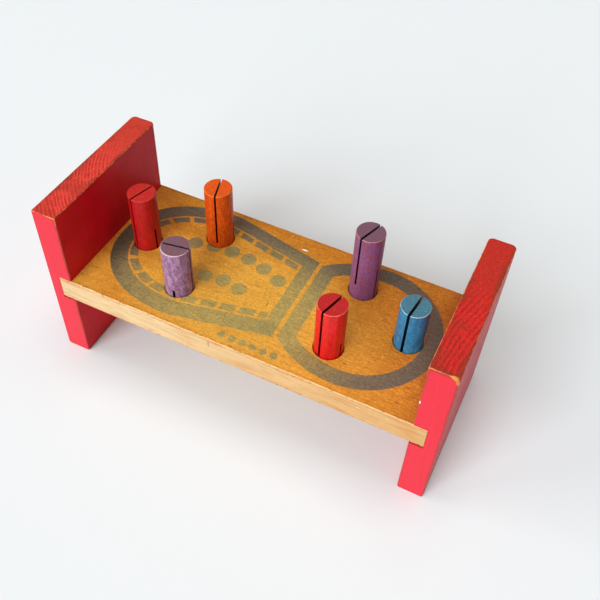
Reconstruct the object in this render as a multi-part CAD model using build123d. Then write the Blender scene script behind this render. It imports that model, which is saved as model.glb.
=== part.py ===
from build123d import *

import os

# A wooden cobbler's pounding bench: a bench board held in dadoes between two end boards, with
# six split pegs that are hammered through its holes. The toy is turned over to hammer them back.
# Frame: millimetres, +Z up, +X along the bench, origin on the floor at the middle of the toy.

# Overall size
overall_length = 254.0
overall_width = 102.6
overall_height = 119.5

# Board stock
end_thickness = 16.3
board_thickness = 16.6
end_edge_radius = 0.8
rear_corner_radius = 3.0
worn_foot_radius = 1.6
board_edge_radius = 0.6

# The bench board sits at mid height, so the toy works either way up
board_middle = overall_height / 2
board_underside = board_middle - board_thickness / 2
board_top = board_middle + board_thickness / 2

# A chip knocked off the upper, front, outer corner of the right end board, in two flat facets:
# the reach of each along X, Y and Z
chip_facets = [(6.4, 1.9, 3.4), (3.0, 2.1, 7.4)]

# Dado joint: the board's end bears on the dado's upper shoulder
dado_depth = 8.4
dado_end_gap = 0.2
dado_lower_gap = 1.1
board_length = overall_length - 2 * (end_thickness - dado_depth)

# Pegs and their holes
peg_diameter = 17.4
peg_length = 65.0
peg_rim_radius = 0.5
hole_diameter = 18.2
hole_rim_chamfer = 0.3
flat_count = 12
flat_depth = 0.18
stroke = peg_length - board_thickness

# Finishing nails through each end board into the bench board's end grain
nail_length = 31.5
nail_shank_diameter = 1.8
nail_head_diameter = 2.8
nail_head_height = 1.6
nail_head_taper = 0.5
nail_point_length = 3.0
nail_set_depth = 0.3
nail_y = 32.0

# Each peg: place of its hole, height of its head above the board (at most the stroke), heading
# of its upper saw cut, and width and depth of its upper and lower cuts. The holes are drilled a
# little off a symmetric pattern. A flatted peg has shallow flats down its side.
PEGS = {
    "left_outer_red_peg": dict(
        x=-89.1, y=0.9, stands=40.3, heading=74, kerfs=(1.0, 1.3), cuts=(38.6, 40.3), flatted=False
    ),
    "left_rear_orange_peg": dict(
        x=-49.8, y=24.8, stands=41.9, heading=106, kerfs=(1.2, 1.2), cuts=(38.9, 38.1), flatted=False
    ),
    "left_front_purple_peg": dict(
        x=-50.8, y=-23.7, stands=34.6, heading=10, kerfs=(1.2, 1.6), cuts=(38.1, 35.6), flatted=False
    ),
    "right_rear_purple_peg": dict(
        x=49.3, y=26.2, stands=stroke, heading=71, kerfs=(1.4, 1.4), cuts=(37.8, 40.5), flatted=False
    ),
    "right_front_red_peg": dict(
        x=49.0, y=-24.5, stands=37.5, heading=74, kerfs=(1.5, 1.5), cuts=(38.1, 38.1), flatted=True
    ),
    "right_outer_blue_peg": dict(
        x=88.4, y=0.8, stands=31.4, heading=83, kerfs=(1.7, 1.7), cuts=(38.1, 38.1), flatted=False
    ),
}


def nails(side):
    """The two nails of one end: side is -1 for the left end board and 1 for the right."""
    head_face = overall_length / 2 - nail_set_depth
    shank_end = head_face - nail_length + nail_point_length
    profile = Polyline(
        (0, head_face),
        (nail_head_diameter / 2, head_face),
        (nail_head_diameter / 2, head_face - nail_head_height),
        (nail_shank_diameter / 2, head_face - nail_head_height - nail_head_taper),
        (nail_shank_diameter / 2, shank_end),
        (0, head_face - nail_length),
        close=True,
    )
    nail = Rot(0, 90 * side, 0) * revolve(Plane.XZ * make_face(profile), Axis.Z)
    return [Pos(0, y, board_middle) * nail for y in (-nail_y, nail_y)]


def end_board(side):
    """One end board, with eased edges, the dado for the bench board and its nail holes."""
    centre_x = side * (overall_length - end_thickness) / 2
    blank = Box(end_thickness, overall_width, overall_height)
    feet = blank.edges().filter_by(Axis.Y).group_by(Axis.Z)[0]
    blank = fillet(feet, worn_foot_radius)
    rear_corners = blank.edges().filter_by(Axis.Z).group_by(Axis.Y)[-1]
    blank = fillet(rear_corners, rear_corner_radius)
    front_corners = blank.edges().filter_by(Axis.Z).group_by(Axis.Y)[0]
    top_loop = blank.faces().sort_by(Axis.Z)[-1].edges()
    blank = fillet(front_corners + top_loop, end_edge_radius)
    board = Pos(centre_x, 0, overall_height / 2) * blank
    dado_floor_x = overall_length / 2 - end_thickness + dado_depth + dado_end_gap
    dado_low_x = overall_length / 2 - 2 * end_thickness
    dado_low_z = board_underside - dado_lower_gap
    dado = Box(dado_floor_x - dado_low_x, 2 * overall_width, board_top - dado_low_z)
    board -= Pos(side * (dado_floor_x + dado_low_x) / 2, 0, (board_top + dado_low_z) / 2) * dado
    set_hole = Rot(0, 90, 0) * Cylinder(nail_head_diameter / 2, 2 * nail_set_depth)
    for y in (-nail_y, nail_y):
        board -= Pos(side * overall_length / 2, y, board_middle) * set_hole
    for nail in nails(side):
        board -= nail
    return board


def chip_facet(reach_x, reach_y, reach_z):
    """The wood beyond one facet of the chip in the right end board's upper, front, outer corner."""
    corner = Vector(overall_length / 2, -overall_width / 2, overall_height)
    cut_points = [
        corner - Vector(reach_x, 0, 0),
        corner + Vector(0, reach_y, 0),
        corner - Vector(0, 0, reach_z),
    ]
    normal = (cut_points[1] - cut_points[0]).cross(cut_points[2] - cut_points[0])
    if normal.dot(corner - cut_points[0]) < 0:
        normal = -normal
    size = 2 * end_thickness
    beyond = Box(size, size, size, align=(Align.CENTER, Align.CENTER, Align.MIN))
    return Plane(origin=cut_points[0], z_dir=normal) * beyond


def bench_board():
    """The bench board, with its six peg holes and the ends of its nail holes."""
    blank = Box(board_length, overall_width, board_thickness)
    blank = fillet(blank.edges().filter_by(Axis.X), board_edge_radius)
    board = Pos(0, 0, board_middle) * blank
    radius = hole_diameter / 2
    half = board_thickness / 2
    hole_profile = Polyline(
        (0, -half),
        (radius + hole_rim_chamfer, -half),
        (radius, hole_rim_chamfer - half),
        (radius, half - hole_rim_chamfer),
        (radius + hole_rim_chamfer, half),
        (0, half),
        close=True,
    )
    hole = revolve(Plane.XZ * make_face(hole_profile), Axis.Z)
    for spec in PEGS.values():
        board -= Pos(spec["x"], spec["y"], board_middle) * hole
    for side in (-1, 1):
        for nail in nails(side):
            board -= nail
    return board


def peg(spec):
    """One peg, sawn from each end. The two cuts cross, so that both ends spring together."""
    upper_cut, lower_cut = spec["cuts"]
    upper_kerf, lower_kerf = spec["kerfs"]
    dowel = Cylinder(peg_diameter / 2, peg_length)
    body = fillet(dowel.edges().filter_by(GeomType.CIRCLE), peg_rim_radius)
    if spec["flatted"]:
        across_flats = RegularPolygon(peg_diameter / 2 - flat_depth, flat_count, major_radius=False)
        body &= extrude(across_flats, amount=peg_length / 2, both=True)
    blade = 2 * peg_diameter
    body -= Pos(0, 0, (peg_length - upper_cut) / 2) * Box(blade, upper_kerf, upper_cut)
    body -= Pos(0, 0, (lower_cut - peg_length) / 2) * Box(lower_kerf, blade, lower_cut)
    centre_z = board_top + spec["stands"] - peg_length / 2
    return Pos(spec["x"], spec["y"], centre_z) * Rot(0, 0, spec["heading"]) * body


def main():
    os.makedirs("parts", exist_ok=True)
    nodes = {
        "bench_board": bench_board(),
        "left_end_board": end_board(-1),
        "right_end_board": end_board(1) - [chip_facet(*reach) for reach in chip_facets],
        "left_end_nails": Compound(children=nails(-1)),
        "right_end_nails": Compound(children=nails(1)),
    }
    for name, spec in PEGS.items():
        nodes[name] = peg(spec)
    for name, shape in nodes.items():
        export_step(shape, f"parts/{name}.step")


main()
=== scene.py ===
"""The looks of a wooden cobbler's pounding bench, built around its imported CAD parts.

Every material is computed in millimetres of the row's frame: +X along the bench, +Z up.
"""

from math import pi, radians

import bpy
from mathutils import Matrix, Vector


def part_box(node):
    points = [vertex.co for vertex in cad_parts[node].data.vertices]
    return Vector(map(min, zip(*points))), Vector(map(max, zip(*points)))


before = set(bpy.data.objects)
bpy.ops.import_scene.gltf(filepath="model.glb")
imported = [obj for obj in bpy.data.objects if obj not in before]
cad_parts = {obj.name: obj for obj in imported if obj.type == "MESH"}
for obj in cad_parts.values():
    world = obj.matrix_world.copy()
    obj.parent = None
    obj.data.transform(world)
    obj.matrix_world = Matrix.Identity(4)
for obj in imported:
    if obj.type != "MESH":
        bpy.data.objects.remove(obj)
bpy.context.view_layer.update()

MM = 0.001
BOARD_LOW, BOARD_HIGH = (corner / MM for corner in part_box("bench_board"))


def srgb(red, green, blue):
    """The linear colour of an 8-bit screen colour."""
    def linear(level):
        level /= 255
        return level / 12.92 if level <= 0.04045 else ((level + 0.055) / 1.055) ** 2.4

    return (linear(red), linear(green), linear(blue), 1.0)


# Arithmetic on shader values

# A Mix node's sockets when it mixes colours: the share, the two colours and the result
MIX_SHARE, MIX_FIRST, MIX_SECOND, MIX_RESULT = 0, 6, 7, 2


class Value:
    """A number, vector or colour that a shader works out at each point."""

    def __init__(self, shader, socket):
        self.shader, self.socket = shader, socket

    def __add__(self, other):
        return self.shader.math("ADD", self, other)

    def __radd__(self, other):
        return self.shader.math("ADD", other, self)

    def __sub__(self, other):
        return self.shader.math("SUBTRACT", self, other)

    def __rsub__(self, other):
        return self.shader.math("SUBTRACT", other, self)

    def __mul__(self, other):
        return self.shader.math("MULTIPLY", self, other)

    def __truediv__(self, other):
        return self.shader.math("DIVIDE", self, other)

    def __pow__(self, other):
        return self.shader.math("POWER", self, other)

    def __neg__(self):
        return self * -1

    def __abs__(self):
        return self.shader.math("ABSOLUTE", self)


class Shader:
    """A material's node tree, with a Principled shader and the point's place in millimetres."""

    def __init__(self, name):
        self.material = bpy.data.materials.new(name)
        self.material.use_nodes = True
        self.tree = self.material.node_tree
        self.surface = self.tree.nodes["Principled BSDF"]
        place = self.node("ShaderNodeTexCoord").outputs["Object"]
        self.place = self.vector("SCALE", Value(self, place), Scale=1 / MM)
        self.x, self.y, self.z = self.parts(self.place)

    def node(self, kind, settings=None, **inputs):
        """A node. Inputs are named with underscores for spaces, or in_N for the input numbered N."""
        made = self.tree.nodes.new(kind)
        for name, setting in (settings or {}).items():
            setattr(made, name, setting)
        for name, value in inputs.items():
            key = int(name[3:]) if name.startswith("in_") else name.replace("_", " ")
            self.feed(made.inputs[key], value)
        return made

    def feed(self, socket, value):
        if isinstance(value, Value):
            self.tree.links.new(value.socket, socket)
        else:
            socket.default_value = value

    def math(self, operation, *values):
        inputs = {f"in_{index}": value for index, value in enumerate(values)}
        return Value(self, self.node("ShaderNodeMath", {"operation": operation}, **inputs).outputs[0])

    def vector(self, operation, *values, **inputs):
        inputs.update({f"in_{index}": value for index, value in enumerate(values)})
        made = self.node("ShaderNodeVectorMath", {"operation": operation}, **inputs)
        return Value(self, made.outputs[0])

    def parts(self, vector):
        """A vector's parts along X, Y and Z."""
        split = self.node("ShaderNodeSeparateXYZ", Vector=vector)
        return [Value(self, socket) for socket in split.outputs]

    def least(self, *values):
        found = values[0]
        for value in values[1:]:
            found = self.math("MINIMUM", found, value)
        return found

    def most(self, *values):
        found = values[0]
        for value in values[1:]:
            found = self.math("MAXIMUM", found, value)
        return found

    def rise(self, value, low, high, to=1.0):
        """From 0 where value is low, smoothly to `to` where it is high."""
        made = self.node(
            "ShaderNodeMapRange", {"interpolation_type": "SMOOTHSTEP"},
            Value=value, From_Min=low, From_Max=high, To_Min=0.0, To_Max=to,
        )
        return Value(self, made.outputs[0])

    def inside(self, distance, softness=0.45):
        """1 where a distance beyond an outline is negative, and 0 where it is positive."""
        return 1 - self.rise(distance, -softness, softness)

    def length(self, *sides):
        """The length of a vector with these sides."""
        return self.math("SQRT", sum(side * side for side in sides))

    def noise(self, scale, detail=3.0, roughness=0.5, distortion=0.0, shift=0.0):
        """Noise from 0 to 1. Scale is in cycles per millimetre, one for each axis."""
        point = self.vector("MULTIPLY", self.place, tuple(scale))
        point = self.vector("ADD", point, (shift, shift * 0.7, shift * 1.3))
        made = self.node(
            "ShaderNodeTexNoise", Vector=point, Scale=1.0, Detail=detail,
            Roughness=roughness, Distortion=distortion,
        )
        return Value(self, made.outputs[0])

    def mix(self, share, first, second):
        """The first colour where share is 0, and the second where it is 1."""
        made = self.node("ShaderNodeMix", {"data_type": "RGBA"})
        self.feed(made.inputs[MIX_SHARE], share)
        self.feed(made.inputs[MIX_FIRST], first)
        self.feed(made.inputs[MIX_SECOND], second)
        return Value(self, made.outputs[MIX_RESULT])

    def shade(self, colour, level):
        """The colour made darker or lighter by a number or a value."""
        grey = self.node("ShaderNodeCombineXYZ", X=level, Y=level, Z=level).outputs[0]
        made = self.node("ShaderNodeMix", {"data_type": "RGBA", "blend_type": "MULTIPLY"})
        self.feed(made.inputs[MIX_SHARE], 1.0)
        self.feed(made.inputs[MIX_FIRST], colour)
        self.feed(made.inputs[MIX_SECOND], Value(self, grey))
        return Value(self, made.outputs[MIX_RESULT])

    def normal_parts(self, output):
        """How far the surface faces along X, Y and Z, whichever way: 1 where it faces straight."""
        normal = self.node("ShaderNodeNewGeometry").outputs[output]
        return [abs(part) for part in self.parts(Value(self, normal))]

    def lying_flat(self):
        """1 on faces that lie flat, facing up or down, and 0 on upright ones."""
        return self.rise(self.normal_parts("Normal")[2], 0.75, 0.95)

    def slanting(self):
        """1 on faces that slant across the frame, and 0 on those square to it."""
        straight = self.most(*self.normal_parts("True Normal"))
        return 1 - self.rise(straight, 0.86, 0.93)

    def depths(self, low, high):
        """How far the point lies inside a box, from the nearer side along X, Y and Z."""
        axes = zip((self.x, self.y, self.z), low, high)
        return [self.least(place - start, end - place) for place, start, end in axes]

    def edge_distance(self, low, high):
        """How far the point is from the nearest edge of a box, as on the box's surface."""
        from_x, from_y, from_z = self.depths(low, high)
        return self.most(
            self.least(from_x, from_y), self.least(self.most(from_x, from_y), from_z)
        )

    def hidden(self, low, high):
        """1 well inside a box, as on the walls of holes, grooves and cuts, and 0 on its outside."""
        return self.rise(self.least(*self.depths(low, high)), 0.5, 2.0)

    def finish(self, colour, roughness, height, specular=0.5):
        """Sets the surface. Height is the relief in millimetres."""
        self.surface.inputs["Specular IOR Level"].default_value = specular
        self.feed(self.surface.inputs["Base Color"], colour)
        self.feed(self.surface.inputs["Roughness"], roughness)
        bump = self.node("ShaderNodeBump", Height=height, Distance=MM, Strength=1.0)
        self.feed(self.surface.inputs["Normal"], Value(self, bump.outputs[0]))
        return self.material


# The print on the bench board, in millimetres: a shoe's sole and heel seen from below. The toe
# and the heel are superellipses, the sole narrows from its waist to its end, and a bar of ink
# closes each of them where they face each other.

PRINT_MIDDLE_Y = 0.8
SOLE_WAIST_X = -50.0
SOLE_END_X = 16.3
SOLE_REACH = 58.2
SOLE_HALF_WIDTH = 46.8
SOLE_TAPER = 0.214
SOLE_TAPER_START = 4.0
SOLE_ROUNDNESS = 2.2
SOLE_LEAN = 0.08
HEEL_START_X = 18.9
HEEL_MIDDLE_X = 60.0
HEEL_HALF_WIDTH = 47.3
HEEL_FRONT_REACH = 55.0
HEEL_BACK_REACH = 47.5
HEEL_ROUNDNESS = 2.0
BAND = 10.2
SOLE_BAR = 8.5
HEEL_BAR = 9.8
HAIRLINE = 1.1

# The stitches inside the sole's band. The stretch allows for a toe that is longer than a circle.
# The row stops before the sole's end, and its inner outline reaches past the outer one, so that
# no stitches cross the end.
STITCH_WIDTH = 4.9
STITCH_LENGTH = 9.4
STITCH_GAP = 2.4
STITCH_SHIFT = 8.8
STITCH_STRETCH = 1.12
STITCH_ROW_END = 9.1
STITCH_INNER_END = 6.5

# Rows of plain round dots: how many, their first and last x, the row's y, how far its middle
# arches towards +Y, and their radius
DOT_ROWS = [(7, -74, 0, 8, 9, 5.0), (3, -42, -18, -9, 2, 5.0), (6, -10, 24, -44.6, 0, 2.4)]


def superellipse(across_x, across_y, reach_x, reach_y, roundness):
    """About how far the point lies beyond a superellipse's outline."""
    part_x = (abs(across_x) / reach_x) ** roundness
    part_y = (abs(across_y) / reach_y) ** roundness
    return (((part_x + part_y) ** (1 / roundness)) - 1) * min(reach_x, reach_y)


def sole_outline(shader, inset, end_inset):
    """How far the point lies beyond the sole's outline, drawn inwards by an inset."""
    x, y = shader.x - SOLE_WAIST_X, shader.y - PRINT_MIDDLE_Y - inset * SOLE_LEAN
    toe = superellipse(
        shader.least(x, 0.0), y, SOLE_REACH - inset, SOLE_HALF_WIDTH - inset, SOLE_ROUNDNESS
    )
    narrowing = shader.most(x - SOLE_TAPER_START, 0.0) * SOLE_TAPER
    side = abs(y) - (SOLE_HALF_WIDTH - inset) + narrowing
    end = shader.x - (SOLE_END_X - end_inset)
    return shader.most(toe, side, end)


def heel_outline(shader, inset, start_inset):
    """How far the point lies beyond the heel's outline, drawn inwards by an inset."""
    x, y = shader.x - HEEL_MIDDLE_X, shader.y - PRINT_MIDDLE_Y
    half_width = HEEL_HALF_WIDTH - inset
    front = superellipse(
        shader.least(x, 0.0), y, HEEL_FRONT_REACH - inset, half_width, HEEL_ROUNDNESS
    )
    back = superellipse(
        shader.most(x, 0.0), y, HEEL_BACK_REACH - inset, half_width, HEEL_ROUNDNESS
    )
    start = (HEEL_START_X + start_inset) - shader.x
    return shader.most(front, back, start)


def stitch_gaps(shader):
    """1 in the gaps between the stitches that follow the sole's edge."""
    x, y = shader.x - SOLE_WAIST_X, shader.y - PRINT_MIDDLE_Y
    pitch = STITCH_LENGTH + STITCH_GAP
    ring = SOLE_HALF_WIDTH - BAND - HAIRLINE - STITCH_WIDTH / 2
    turned = shader.math("ARCTAN2", -x, abs(y)) * ring * STITCH_STRETCH
    along = shader.most(x, 0.0) - shader.most(turned, 0.0) + pi / 2 * ring * STITCH_STRETCH
    along = along * shader.math("SIGN", y) + STITCH_SHIFT
    cycle = shader.math("FLOORED_MODULO", along, pitch)
    return shader.inside(abs(cycle - pitch / 2) - STITCH_GAP / 2)


def dots(shader, places, radius):
    """1 on round dots with their middles at the places."""
    nearest = shader.least(*(shader.length(shader.x - x, shader.y - y) for x, y in places))
    return shader.inside(nearest - radius)


def arch(count, from_x, to_x, low_y, rise_y):
    """Evenly spaced points along a low arch."""
    points = []
    for index in range(count):
        share = index / (count - 1)
        points.append((from_x + (to_x - from_x) * share, low_y + rise_y * 4 * share * (1 - share)))
    return points


def upper_face(shader):
    """1 on the bench board's upper face, and 0 on its edges and underside."""
    return shader.rise(shader.z, BOARD_HIGH.z - 0.5, BOARD_HIGH.z - 0.1)


def print_mask(shader):
    """1 under the print's ink, and 0 on bare wood."""
    def sole(inset, end_inset):
        return shader.inside(sole_outline(shader, inset, end_inset))

    def heel(inset, start_inset):
        return shader.inside(heel_outline(shader, inset, start_inset))

    stitch_start = BAND + HAIRLINE
    stitches = sole(stitch_start, STITCH_ROW_END)
    stitches = stitches - sole(stitch_start + STITCH_WIDTH, STITCH_INNER_END)
    stitches = shader.most(stitches, 0.0) * (1 - stitch_gaps(shader))
    sole_band = sole(0.0, 0.0) - sole(BAND, SOLE_BAR)
    heel_band = heel(0.0, 0.0) - heel(BAND, HEEL_BAR)
    rows = [dots(shader, arch(*row), radius) for *row, radius in DOT_ROWS]
    return shader.most(sole_band, stitches, heel_band, *rows) * upper_face(shader)


# Materials

HONEY, GOLD, AMBER = srgb(222, 144, 40), srgb(238, 180, 72), srgb(180, 98, 18)
BROWN, SHADE_AND_GRIME_RED, RAW_WOOD = srgb(108, 62, 26), srgb(140, 56, 22), srgb(240, 196, 136)
PALE_WOOD, TAN_WOOD = srgb(212, 178, 130), srgb(200, 151, 94)
DARK_INK, FADED_INK, FLAKE_WHITE = srgb(90, 86, 76), srgb(112, 132, 90), srgb(250, 244, 232)

# Scratches on the bench board's upper face, and a flake of white paint: x, y, half length along
# X and half width
SCRATCHES = [
    (2.9, -11.6, 0.5, 2.2), (62, -31, 1.9, 0.5), (100, -30, 1.6, 0.8), (98, -42, 2.2, 0.5)
]
FLAKE = (3.4, 40.0, 2.4, 0.7)

# Dents in the bench board's front edge: the x of a dark one that runs down from the top, and
# the x, z, half length and half height of two pale ones
DARK_DENT_X = -15.0
PALE_DENTS = [(79.0, 62.5, 1.6, 0.5), (96.5, 63.5, 1.3, 0.4)]

# The most worn and faded part of the upper face, and its left front corner, lightened as painted
# light
WORN_MIDDLE = (-12, -20)
WORN_REACH = (70, 46)
PAINTED_LIGHT_CORNER_REACH = (26, 34)


def spot(shader, across, up, mark):
    """1 on a small oval mark on a face, with a ragged outline."""
    place_across, place_up, half_length, half_width = mark
    ragged = shader.noise((0.9, 0.9, 0.9), detail=2.0) * 1.1
    distance = shader.length((across - place_across) / half_length, (up - place_up) / half_width)
    return 1 - shader.rise(distance + ragged, 1.1, 1.7)


def oval(s, middle, reach):
    """1 near a place on the upper face, fading out around the edge of an oval."""
    (middle_x, middle_y), (reach_x, reach_y) = middle, reach
    return s.inside(s.length((s.x - middle_x) / reach_x, (s.y - middle_y) / reach_y) - 1, 0.5)


def shade_and_grime_at_ends(s):
    """1 on the bench board beside the end boards: painted shade and painted red reflection from them,
    with some dirt.
    """
    from_end = BOARD_HIGH.x - abs(s.x) - s.y * (0.16 - s.x * 0.0006)
    from_end = from_end + s.noise((0.05, 0.05, 0.05), shift=41.0) * 14
    return 1 - s.rise(from_end, 6, 33)


def coloured_wood(s, end_shade_and_grime, streaks, mottle, speckle):
    """The upper face's varnished wood: amber at the rear and right, golden where it is worn."""
    figure = s.noise((0.010, 0.06, 0.06), detail=4.0, distortion=0.8)
    blotches = s.noise((0.025, 0.04, 0.04), detail=3.0, shift=3.0)
    # Amber, darker towards the rear and right
    towards_rear_right = s.rise(s.x * 0.4 + s.y * 0.6, -20, 45, 0.8)
    wood = s.mix(s.most(towards_rear_right, s.rise(figure, 0.35, 0.68, 0.6)), HONEY, AMBER)
    wood = s.mix(s.rise(mottle, 0.45, 0.70, 0.35), wood, GOLD)
    wood = s.mix(oval(s, WORN_MIDDLE, WORN_REACH) * 0.55, wood, GOLD)
    # Painted light: the left front corner is lightened against the left end board's shadow
    wood = s.mix(oval(s, BOARD_LOW.xy, PAINTED_LIGHT_CORNER_REACH) * 0.4, wood, GOLD)
    wood = s.mix(s.rise(blotches, 0.50, 0.80, 0.35), wood, BROWN)
    # Painted shade and painted red reflection beside the end boards, with some dirt
    wood = s.mix(end_shade_and_grime * s.rise(s.x, -110, 60, 0.4) + end_shade_and_grime * 0.4, wood, SHADE_AND_GRIME_RED)
    return s.shade(wood, 0.15 + streaks * 0.78 + mottle * 0.60 + speckle * 0.26)


def inked(s, wood, end_shade_and_grime, streaks, mottle, speckle):
    """The wood under its worn print, and how much ink covers it."""
    worn = oval(s, WORN_MIDDLE, WORN_REACH)
    thin = s.rise(mottle, 0.35, 0.75, 0.3)
    cover = print_mask(s) * (0.94 - worn * 0.26 - thin * (0.4 + worn * 0.6))
    ink = s.mix(worn, DARK_INK, FADED_INK)
    ink = s.shade(ink, 0.12 + streaks * 0.85 + mottle * 0.50 + speckle * 0.46)
    wood = s.mix(cover, wood, ink)
    # The ink is darker beside the end boards from their painted shade, with some dirt; at the far
    # left from unworn ink and painted shade of the left end board; and at the rear where it is unworn
    unworn_and_shaded_left = 1 - s.rise(s.x, -104, -84)
    unworn_rear = s.rise(s.y - abs(s.x - 40) * 0.4, 14, 36, 0.42)
    darker = s.most(end_shade_and_grime * 0.45, s.most(unworn_and_shaded_left, unworn_rear) * 0.6)
    return s.shade(wood, 1 - cover * darker), cover


def board_edges(s, streaks, mottle):
    """The bench board's long edges: partly thin varnish, partly a painted highlight where they face
    the light.
    """
    tanned = s.rise(s.x + s.noise((0.02, 0.1, 0.1), shift=31.0) * 90, -40, 130, 0.9)
    dirt = s.rise(s.noise((0.05, 0.25, 0.35), detail=4.0, shift=21.0), 0.46, 0.72, 0.45)
    # The pale wood is partly a painted highlight on faces turned to the light
    pale = s.shade(s.mix(tanned, PALE_WOOD, TAN_WOOD), 0.48 + streaks * 0.64 + mottle * 0.38)
    pale = s.mix(dirt, pale, AMBER)
    front = 1 - s.rise(s.y, -1, 1)
    wander = s.noise((0.5, 0.5, 0.5), shift=5.0) * 2 - 1
    dent = 1 - s.rise(abs(s.x - DARK_DENT_X) + wander, 0.1, 0.5)
    dent = dent * s.rise(s.z, BOARD_HIGH.z - 9, BOARD_HIGH.z - 4, 0.5)
    pale = s.mix(dent * front, pale, BROWN)
    for mark in PALE_DENTS:
        pale = s.mix(spot(s, s.x, s.z, mark) * front * 0.2, pale, FLAKE_WHITE)
    return pale


def worn_board_edges(s, wood):
    """The wood rubbed pale and nicked along the bench board's long edges, and painted dark in its
    holes as painted shade.

    The room beyond the board's ends keeps them, which the end boards hold, from counting as edges.
    """
    end_room = Vector((10, 0, 0))
    edge = s.edge_distance(BOARD_LOW - end_room, BOARD_HIGH + end_room)
    ragged = s.noise((0.16, 0.8, 0.8), detail=4.0, shift=5.0)
    wood = s.mix((1 - s.rise(edge - ragged * 5, -2.2, 0.4)) * 0.3, wood, AMBER)
    wood = s.mix((1 - s.rise(edge - ragged * 1.5, -0.5, 0.0)) * 0.6, wood, RAW_WOOD)
    nicks = s.rise(s.noise((0.35, 0.8, 0.8), detail=4.0, roughness=0.7, shift=57.0), 0.54, 0.64)
    wood = s.mix(nicks * (1 - s.rise(edge, 0.7, 2.6)) * 0.75, wood, BROWN)
    # Painted shade on the walls of the holes
    return s.mix(s.hidden(BOARD_LOW, BOARD_HIGH) * 0.8, wood, BROWN)


def varnished_wood():
    """Honey-coloured varnished hardwood, with its grain along X, the print and its wear."""
    s = Shader("varnished_wood")
    streaks = s.noise((0.045, 0.75, 0.75), detail=5.0, roughness=0.75, shift=7.0)
    mottle = s.noise((0.55, 1.0, 1.0), detail=5.0, roughness=0.75, shift=15.0)
    speckle = s.noise((0.9, 1.4, 1.4), detail=3.0, roughness=0.65, shift=51.0)
    speckle = s.rise(speckle, 0.35, 0.65)
    pores = s.rise(s.noise((0.26, 2.4, 2.4), detail=3.0, shift=11.0), 0.58, 0.72)

    end_shade_and_grime = shade_and_grime_at_ends(s)
    wood = coloured_wood(s, end_shade_and_grime, streaks, mottle, speckle)
    wood = s.mix(pores * 0.42, wood, BROWN)
    wood, ink = inked(s, wood, end_shade_and_grime, streaks, mottle, speckle)
    upper = upper_face(s)
    for mark in SCRATCHES:
        wood = s.mix(spot(s, s.x, s.y, mark) * upper * 0.6, wood, BROWN)
    wood = s.mix(spot(s, s.x, s.y, FLAKE) * upper, wood, FLAKE_WHITE)
    side = s.rise(abs(s.y), BOARD_HIGH.y - 0.5, BOARD_HIGH.y - 0.15)
    wood = s.mix(side, wood, board_edges(s, streaks, mottle))
    wood = worn_board_edges(s, wood)

    height = streaks * 0.06 + mottle * 0.08 - pores * 0.05
    roughness = 0.34 + mottle * 0.14 + ink * 0.12
    return s.finish(wood, roughness, height, specular=0.25)


# End boards: the middle of the tree as their end grain shows it, the rings' spacing, the depths
# along Y between which the rings fade away, the stain, and the shift of the board's noise
END_GRAIN = {
    "left_end_board": dict(
        middle=(-10.0, 69.0), spacing=2.1, fade=(-10, 36), stain=(222, 66, 54), shift=0.0
    ),
    "right_end_board": dict(
        middle=(299.0, -54.0), spacing=2.7, fade=(-12, 22), stain=(206, 38, 34), shift=20.0
    ),
}
BRIGHT_RED, RED, DEEP_RED = srgb(220, 16, 36), srgb(194, 4, 20), srgb(96, 6, 12)
PAINTED_SHEEN_RED, RING_RED, END_BROWN = srgb(214, 44, 60), srgb(140, 22, 20), srgb(150, 46, 28)
BARE_EDGE, EDGE_DIRT_AND_SHADE, CHIP_WOOD = srgb(226, 136, 70), srgb(104, 56, 30), srgb(206, 134, 62)
RUST = srgb(84, 40, 30)

# A nick in the paint of the right end board's front, and how far from an end board's upper, front
# corner its slanting faces are bare
PAINT_NICK = (110.9, -51.2, 89.5)
CHIP_REACH = 5.4


def end_grain(s, grain, patches, speckle):
    """Red stain on end grain, with broken growth rings. Also gives the rings alone."""
    shift = grain["shift"]
    centre_x, centre_y = grain["middle"]
    wander = s.noise((0.04, 0.04, 0.01), detail=2.0, shift=shift) * 5
    wander = wander + s.noise((0.35, 0.35, 0.05), detail=2.0, shift=shift + 12) * 0.9
    radius = s.length(s.x - centre_x, s.y - centre_y) + wander
    cycle = s.math("FRACT", radius / grain["spacing"])
    late_wood = s.rise(cycle, 0.1, 0.75) - s.rise(cycle, 0.78, 1.0)
    fade_from, fade_to = grain["fade"]
    showing = 1 - s.rise(s.y + patches * 20 - 10, fade_from, fade_to, 0.85)
    broken = s.rise(s.noise((0.25, 0.25, 0.1), detail=3.0, shift=shift + 15), 0.35, 0.6)
    rings = late_wood * showing * (0.20 + broken * 0.50)
    colour = s.mix(rings, srgb(*grain["stain"]), RING_RED)
    dull = s.rise(s.noise((0.07, 0.07, 0.07), detail=4.0, shift=shift + 17), 0.42, 0.68, 0.6)
    colour = s.mix(s.most(dull, 0.55 - showing * 0.55), colour, END_BROWN)
    colour = s.shade(colour, 0.40 + speckle * 1.35)
    colour = s.mix(s.rise(speckle, 0.60, 0.74, 0.22), colour, BARE_EDGE)
    return colour, rings


def painted_side(s, high, patches, fibres, speckle):
    """Red paint on an end board's upright faces, paler and pinker on the narrow ones as a painted
    sheen.
    """
    # Patches of deeper red that fade out towards the rear: partly painted shade, with the rear
    # lighter as a painted glare
    deep_red_and_shade = s.rise(patches, 0.35, 0.7, 0.6) * (1 - s.rise(s.y, 10, high.y, 0.8))
    side = s.mix(deep_red_and_shade, BRIGHT_RED, RED)
    # A painted sheen: the narrow faces' reflection of the pale floor, painted as paler, pinker paint
    side = s.mix(s.rise(abs(s.y), high.y - 0.9, high.y - 0.3, 0.9), side, PAINTED_SHEEN_RED)
    return s.shade(side, 0.60 + fibres * 0.32 + speckle * 0.40)


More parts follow.
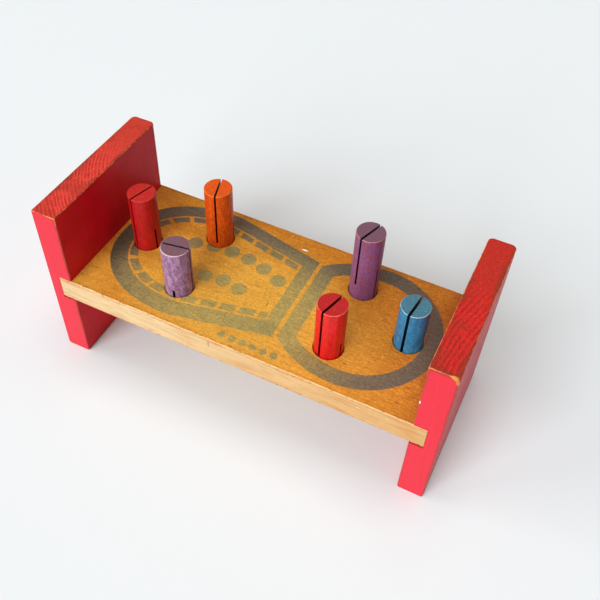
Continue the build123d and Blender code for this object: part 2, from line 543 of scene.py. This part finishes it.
def worn_end_edges(s, colour, low, high, ragged, shift):
    """The colour darker along an end board's edges, as dirt and painted shade of their rounding, and
    rubbed bare at its top and bottom.
    """
    edge = s.edge_distance(low, high)
    near_end = 1 - s.rise(s.least(s.z - low.z, high.z - s.z), 1.0, 3.0, 0.75)
    scuffs = s.noise((0.035, 0.035, 0.035), detail=2.0, shift=shift + 6)
    scuffs = s.rise(scuffs, 0.5, 0.62) * near_end
    # Dirt and painted shade along the rounded edges
    dirt_and_edge_shade = 1 - s.rise(edge - ragged * (1.4 + scuffs * 4.0), -1.0, 0.9)
    colour = s.mix(dirt_and_edge_shade * 0.5, colour, EDGE_DIRT_AND_SHADE)
    bare = 1 - s.rise(edge - ragged * 1.2, -0.42, -0.12)
    return s.mix(bare * near_end * 0.85, colour, BARE_EDGE)


def chipped(s, colour, low, high, speckle):
    """The colour with bare wood on slanting faces near an end board's upper, front corner."""
    bare = s.mix(s.rise(s.y - low.y, 0.8, 1.3), CHIP_WOOD, END_BROWN)
    near = s.length(s.x - high.x, s.y - low.y, s.z - high.z)
    mask = s.slanting() * s.inside(near - CHIP_REACH, 0.6)
    return s.mix(mask, colour, s.shade(bare, 0.6 + speckle * 0.8))


def painted_end(node):
    """Red stain and paint on an end board: grain upright, rings on its top and bottom."""
    s = Shader("red_" + node)
    grain = END_GRAIN[node]
    shift = grain["shift"]
    low, high = (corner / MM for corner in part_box(node))
    patches = s.noise((0.04, 0.04, 0.04), detail=3.0, shift=shift + 4)
    fibres = s.noise((0.7, 0.7, 0.03), detail=5.0, roughness=0.7, shift=shift)
    speckle = s.noise((1.0, 1.0, 1.0), detail=4.0, roughness=0.65, shift=shift + 9)

    end, rings = end_grain(s, grain, patches, speckle)
    flat = s.lying_flat()
    colour = s.mix(flat, painted_side(s, high, patches, fibres, speckle), end)
    ragged = s.noise((0.35, 0.35, 0.35), detail=4.0, shift=shift + 2)
    colour = worn_end_edges(s, colour, low, high, ragged, shift)
    colour = chipped(s, colour, low, high, speckle)
    x, y, z = PAINT_NICK
    nick = s.length(s.x - x, s.y - y, (s.z - z) * 0.5)
    colour = s.mix(1 - s.rise(nick + ragged, 0.8, 1.3), colour, FLAKE_WHITE)
    # Painted shade, with some glue, on the walls of the grooves and holes
    colour = s.mix(s.hidden(low, high) * 0.7, colour, DEEP_RED)

    height = (fibres * 0.06) * (1 - flat) + (rings * 0.04 + speckle * 0.07) * flat
    roughness = 0.36 + patches * 0.10 + flat * 0.16
    return s.finish(colour, roughness, height + speckle * 0.02, specular=0.16)


# Dyed pegs: two tones of the side's dye and how blotchy it is, the colours of the sawn top and the
# rim, and how much of the rim is rubbed bare. Each peg's noise is shifted on from the last one's.
PEG_DYES = {
    "left_outer_red_peg": dict(
        tones=[(204, 14, 18), (164, 8, 14)], blotchy=0.6,
        top=(196, 36, 30), rim=(228, 110, 76), bare=0.25,
    ),
    "left_rear_orange_peg": dict(
        tones=[(236, 90, 0), (194, 56, 0)], blotchy=0.7,
        top=(220, 82, 4), rim=(240, 164, 90), bare=0.3,
    ),
    "left_front_purple_peg": dict(
        tones=[(188, 138, 174), (120, 76, 110)], blotchy=0.8,
        top=(124, 84, 94), rim=(238, 218, 204), bare=0.5,
    ),
    "right_rear_purple_peg": dict(
        tones=[(136, 84, 142), (144, 74, 92)], blotchy=1.0,
        top=(118, 78, 94), rim=(196, 138, 108), bare=0.5,
    ),
    "right_front_red_peg": dict(
        tones=[(236, 20, 22), (196, 8, 12)], blotchy=0.6,
        top=(186, 26, 26), rim=(240, 146, 120), bare=0.35,
    ),
    "right_outer_blue_peg": dict(
        tones=[(52, 138, 180), (34, 98, 140)], blotchy=0.7,
        top=(66, 116, 134), rim=(196, 210, 196), bare=0.5,
    ),
}
SHIFT_PER_PEG = 13.0


def peg_side(s, dye, mottle, fibres, speckle, shift):
    """Mottled dye over fine upright grain, with dirt here and there."""
    first, second = (srgb(*tone) for tone in dye["tones"])
    dirt = s.noise((0.16, 0.16, 0.09), detail=3.0, shift=shift + 6)
    side = s.mix(s.rise(mottle, 0.38, 0.62, dye["blotchy"]), first, second)
    side = s.shade(side, 0.44 + fibres * 0.52 + s.rise(speckle, 0.35, 0.65) * 0.26)
    return s.mix(s.rise(dirt, 0.55, 0.85, 0.35), side, s.shade(second, 0.5))


def peg_top(s, dye, speckle):
    """Dyed end grain, with pale specks."""
    end = s.shade(srgb(*dye["top"]), 0.40 + speckle * 1.2)
    return s.mix(s.rise(speckle, 0.62, 0.78, 0.4), end, srgb(*dye["rim"]))


def dyed_peg(node, order):
    """A dyed hardwood peg: mottled dye, fine upright grain, rubbed rims and painted shade in its saw
    cuts.
    """
    dye = PEG_DYES[node]
    s = Shader("dye_" + node)
    low, high = (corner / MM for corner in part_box(node))
    middle = (low + high) / 2
    peg_radius = (high.x - low.x) / 2
    shift = SHIFT_PER_PEG * order

    mottle = s.noise((0.42, 0.42, 0.22), detail=5.0, roughness=0.72, shift=shift)
    fibres = s.noise((1.2, 1.2, 0.04), detail=4.0, shift=shift + 3)
    speckle = s.noise((1.1, 1.1, 1.1), detail=4.0, shift=shift + 1)
    flat = s.lying_flat()
    side = peg_side(s, dye, mottle, fibres, speckle, shift)
    colour = s.mix(flat, side, peg_top(s, dye, speckle))

    from_side = peg_radius - s.length(s.x - middle.x, s.y - middle.y)
    from_end = s.least(s.z - low.z, high.z - s.z)
    ragged = s.noise((0.45, 0.45, 0.45), detail=3.0, shift=shift + 8)
    rubbed = 1 - s.rise(s.most(from_side, from_end) + ragged * 0.5 - 0.25, 0.15, 0.42)
    rubbed = rubbed * s.rise(ragged + dye["bare"], 0.65, 1.05, 0.85)
    colour = s.mix(rubbed, colour, srgb(*dye["rim"]))
    # Painted shade on the walls and floors of the saw cuts
    cut_wall_shade = (1 - flat) * s.rise(from_side, 0.2, 0.6)
    cut_shade = s.most(cut_wall_shade, s.rise(s.least(from_side, from_end), 0.4, 1.4))
    colour = s.shade(colour, 1 - cut_shade * 0.85)

    height = fibres * 0.05 * (1 - flat) + speckle * 0.05
    return s.finish(colour, 0.36 + mottle * 0.16, height, specular=0.38)


def painted_nail():
    """A steel nail under thin red paint, with rust coming through."""
    s = Shader("painted_nail")
    rust = s.noise((0.8, 0.8, 0.8), detail=4.0)
    colour = s.mix(s.rise(rust, 0.45, 0.7), RED, RUST)
    return s.finish(colour, 0.42 + rust * 0.2, rust * 0.04)


def dress(node, material):
    """Gives a CAD node its material."""
    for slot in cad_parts[node].material_slots:
        slot.material = material


def dress_all():
    """Gives every CAD node its material."""
    dress("bench_board", varnished_wood())
    for node in END_GRAIN:
        dress(node, painted_end(node))
    nail_finish = painted_nail()
    for node in ("left_end_nails", "right_end_nails"):
        dress(node, nail_finish)
    for order, node in enumerate(PEG_DYES):
        dress(node, dyed_peg(node, order))


# The stage: a floor, three lights and a camera. Lengths are in metres unless a comment says not.

FLOOR_HALF = 40.0
FLOOR_COLOUR = (0.80, 0.81, 0.825, 1.0)
ROOM_COLOUR = (0.92, 0.96, 1.0, 1.0)
ROOM_STRENGTH = 0.13
LIGHT_DISTANCE = 36.0

# Each light: the direction it comes from, the length of its sides, its power and its colour
LIGHTS = {
    "front_window": dict(
        direction=(-0.20, -1.0, 0.60), size=27.6, power=17300, colour=(0.87, 0.96, 1.0)
    ),
    "left_window": dict(
        direction=(-0.90, -0.35, 0.42), size=22.8, power=5100, colour=(1.0, 0.97, 0.94)
    ),
    "overhead": dict(
        direction=(0.05, 0.15, 1.0), size=21.0, power=4900, colour=(1.0, 0.94, 0.86)
    ),
}

# The camera's place in millimetres, the angles it is turned by in degrees, its lens in
# millimetres, and the nearest distance it sees
CAMERA_PLACE = Vector((142.48, -284.86, 421.28))
CAMERA_HEADING, CAMERA_LOOKING_DOWN, CAMERA_ROLL = 23.434, 48.650, 3.207
FOCAL_LENGTH, SENSOR_WIDTH = 46.81, 36.0
NEAREST_SEEN = 0.01


def floor():
    """A plain pale floor."""
    half = FLOOR_HALF
    mesh = bpy.data.meshes.new("floor")
    corners = [(-half, -half, 0), (half, -half, 0), (half, half, 0), (-half, half, 0)]
    mesh.from_pydata(corners, [], [(0, 1, 2, 3)])
    made = bpy.data.objects.new("floor", mesh)
    bpy.context.scene.collection.objects.link(made)
    material = bpy.data.materials.new("pale_floor")
    material.use_nodes = True
    surface = material.node_tree.nodes["Principled BSDF"]
    surface.inputs["Base Color"].default_value = FLOOR_COLOUR
    surface.inputs["Roughness"].default_value = 0.8
    mesh.materials.append(material)


def soft_light(name, direction, size, power, colour):
    """A square soft light that shines from a direction onto the toy."""
    light = bpy.data.lights.new(name, "AREA")
    light.shape, light.size = "SQUARE", size
    light.energy, light.color = power, colour
    made = bpy.data.objects.new(name, light)
    made.location = Vector(direction).normalized() * LIGHT_DISTANCE
    made.rotation_euler = Vector(direction).to_track_quat("Z", "Y").to_euler()
    bpy.context.scene.collection.objects.link(made)


def lighting():
    """A broad, cool window in front, weaker, warmer lights from the left and above, a dim room."""
    world = bpy.data.worlds.new("world")
    world.use_nodes = True
    background = world.node_tree.nodes["Background"]
    background.inputs["Color"].default_value = ROOM_COLOUR
    background.inputs["Strength"].default_value = ROOM_STRENGTH
    bpy.context.scene.world = world
    for name, light in LIGHTS.items():
        soft_light(name, **light)
    bpy.context.scene.view_settings.view_transform = "Standard"


def camera():
    """The camera that the toy is seen by: from above, the front and the right."""
    lens = bpy.data.cameras.new("camera")
    lens.sensor_width, lens.lens = SENSOR_WIDTH, FOCAL_LENGTH
    lens.clip_start = NEAREST_SEEN
    made = bpy.data.objects.new("camera", lens)
    turn = Matrix.Rotation(radians(CAMERA_HEADING), 4, "Z")
    turn @= Matrix.Rotation(pi / 2 - radians(CAMERA_LOOKING_DOWN), 4, "X")
    turn @= Matrix.Rotation(radians(CAMERA_ROLL), 4, "Z")
    made.matrix_world = Matrix.Translation(CAMERA_PLACE * MM) @ turn
    bpy.context.scene.collection.objects.link(made)
    bpy.context.scene.camera = made


dress_all()
floor()
lighting()
camera()
